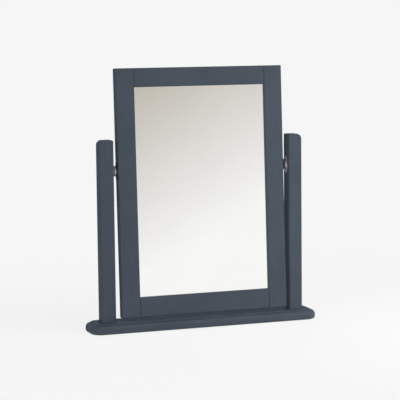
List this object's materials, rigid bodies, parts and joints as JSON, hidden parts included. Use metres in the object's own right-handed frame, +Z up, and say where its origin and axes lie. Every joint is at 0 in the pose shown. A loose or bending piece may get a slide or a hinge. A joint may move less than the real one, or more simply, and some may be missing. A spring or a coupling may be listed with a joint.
{
  "type": "dressing table mirror",
  "caption": "Swivel dressing table mirror: a framed rectangular glass that tilts between square posts on friction pivots, above a long base with moulded edges and rounded corners.",
  "frame": {"origin": "on the table top, under the middle of the base", "axes": "+Z up; +X to the right of someone who faces the glass, along the base; +Y from the glass to the back of the frame"},
  "size_m": [0.509, 0.08, 0.5524],
  "materials": {
    "painted_wood": "satin slate-grey paint",
    "beech_dowel": "bare beech",
    "silvered_glass": "silvered float glass",
    "hardboard": "smooth brown hardboard",
    "plated_steel": "satin nickel plate",
    "fibre": "black vulcanised fibre",
    "felt": "dark grey pressed felt"
  },
  "bodies": {
    "stand": {"base_board": "painted_wood", "left_post": "painted_wood", "right_post": "painted_wood", "post_dowels": "beech_dowel", "post_screws": "plated_steel", "felt_pads": "felt", "left_post_plate": "plated_steel", "right_post_plate": "plated_steel", "left_swivel_drum": "plated_steel", "right_swivel_drum": "plated_steel", "left_friction_washer": "fibre", "right_friction_washer": "fibre", "left_pivot_pin": "plated_steel", "right_pivot_pin": "plated_steel", "post_plate_screws": "plated_steel"},
    "mirror": {"left_stile": "painted_wood", "right_stile": "painted_wood", "top_rail": "painted_wood", "bottom_rail": "painted_wood", "frame_dowels": "beech_dowel", "mirror_glass": "silvered_glass", "backing_board": "hardboard", "left_bead": "painted_wood", "right_bead": "painted_wood", "top_bead": "painted_wood", "bottom_bead": "painted_wood", "bead_pins": "plated_steel", "left_frame_plate": "plated_steel", "right_frame_plate": "plated_steel", "frame_plate_screws": "plated_steel"}
  },
  "joints": [
    {"name": "mirror_tilt", "type": "hinge", "parent": "stand", "child": "mirror", "pos_m": [0, 0, 0.3389], "axis": [1, 0, 0], "continuous": true}
  ]
}
